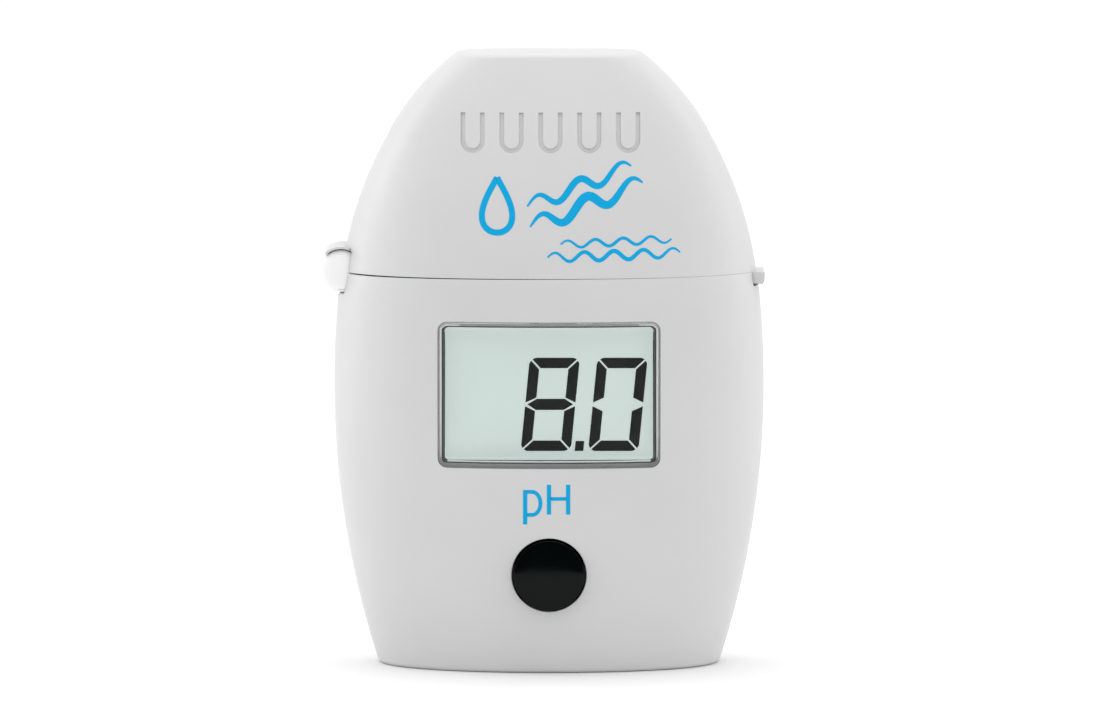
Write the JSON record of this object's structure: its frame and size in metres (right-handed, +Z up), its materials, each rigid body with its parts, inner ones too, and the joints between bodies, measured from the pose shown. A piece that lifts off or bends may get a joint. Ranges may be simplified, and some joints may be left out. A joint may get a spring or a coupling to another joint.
{
  "type": "handheld water tester",
  "caption": "Handheld water photometer with a hinged lid over a sample vial, a numeric display, a round push button and a rear battery door.",
  "frame": {"origin": "centre of the flat base, on the surface the case stands on", "axes": "+Z up, -Y towards the user who reads the display, +X to that user's right, hinge on -X and latch on +X"},
  "size_m": [0.0623, 0.0373, 0.086],
  "materials": {
    "white_plastic": "fine satin",
    "black_plastic": "satin",
    "button_plastic": "high gloss",
    "seal_rubber": "matte",
    "clear_window": "clear acrylic, polished",
    "vial_glass": "clear glass",
    "display_glass": "grey-green liquid crystal glass",
    "green_board": "solder-masked board",
    "chip_body": "moulded epoxy",
    "steel": "plated",
    "lamp_epoxy": "clear epoxy",
    "filter_glass": "coated glass",
    "cell_sleeve": "printed sleeve, plain",
    "red_insulation": "wire insulation"
  },
  "bodies": {
    "case": {"front_shell": "white_plastic", "rear_shell": "white_plastic", "rear_label": "white_plastic", "deck_plate": "white_plastic", "mouth_seal": "seal_rubber", "contact_strip_lower": "seal_rubber", "contact_strip_upper": "seal_rubber", "hinge_pin": "steel", "display_window": "clear_window", "display_frame": "black_plastic", "display_front_glass": "display_glass", "display_rear_glass": "display_glass", "display_reflector": "steel", "main_board": "green_board", "microcontroller": "chip_body", "quartz_crystal": "steel", "capacitor": "chip_body", "key_switch": "chip_body", "vial_holder": "black_plastic", "lamp": "lamp_epoxy", "lamp_board": "green_board", "light_filter": "filter_glass", "filter_ring": "black_plastic", "photodetector": "steel", "detector_board": "green_board", "lamp_lead": "red_insulation", "detector_lead": "cell_sleeve", "vial_glass": "vial_glass", "battery_cell": "cell_sleeve", "battery_tray": "black_plastic", "contact_plate": "steel", "contact_spring": "steel", "battery_lead_plus": "red_insulation", "battery_lead_minus": "cell_sleeve", "case_screw_1": "steel", "board_screw_1": "steel", "case_screw_2": "steel", "board_screw_2": "steel", "case_screw_3": "steel", "board_screw_3": "steel", "case_screw_4": "steel", "board_screw_4": "steel"},
    "lid": {"lid_shell": "white_plastic", "lid_gasket": "seal_rubber"},
    "button": {"button_cap": "button_plastic", "switch_plunger": "black_plastic"},
    "battery_door": {"battery_door": "white_plastic"},
    "door_screw": {"door_screw": "steel"},
    "vial_stopper": {"vial_stopper": "white_plastic"},
    "vial_cap": {"vial_cap": "black_plastic"}
  },
  "joints": [
    {"name": "lid_hinge", "type": "hinge", "parent": "case", "child": "lid", "pos_m": [-0.0291, 0, 0.0554], "axis": [0, -1, 0], "range_deg": [0, 110]},
    {"name": "button_press", "type": "slide", "parent": "case", "child": "button", "axis": [0, 1, 0], "range_m": [0, 0.0006], "stiffness_N_per_m": 900, "springref_m": -0.0006},
    {"name": "battery_door_slide", "type": "slide", "parent": "case", "child": "battery_door", "axis": [0, 1, 0], "range_m": [0, 0.025]},
    {"name": "door_screw_turn", "type": "hinge", "parent": "battery_door", "child": "door_screw", "pos_m": [0, 0.0145, 0.0052], "axis": [0, 1, 0], "range_deg": [0, 1440]},
    {"name": "vial_cap_lift", "type": "slide", "parent": "case", "child": "vial_stopper", "axis": [0, 0, 1], "range_m": [0, 0.0025]},
    {"name": "vial_cap_turn", "type": "hinge", "parent": "vial_stopper", "child": "vial_cap", "pos_m": [0, 0.0026, 0.06], "axis": [0, 0, 1], "range_deg": [0, 360]}
  ],
  "couplings": [
    {"joint": "vial_cap_lift", "follows": "vial_cap_turn", "m_per_rad": 0.00039789}
  ]
}
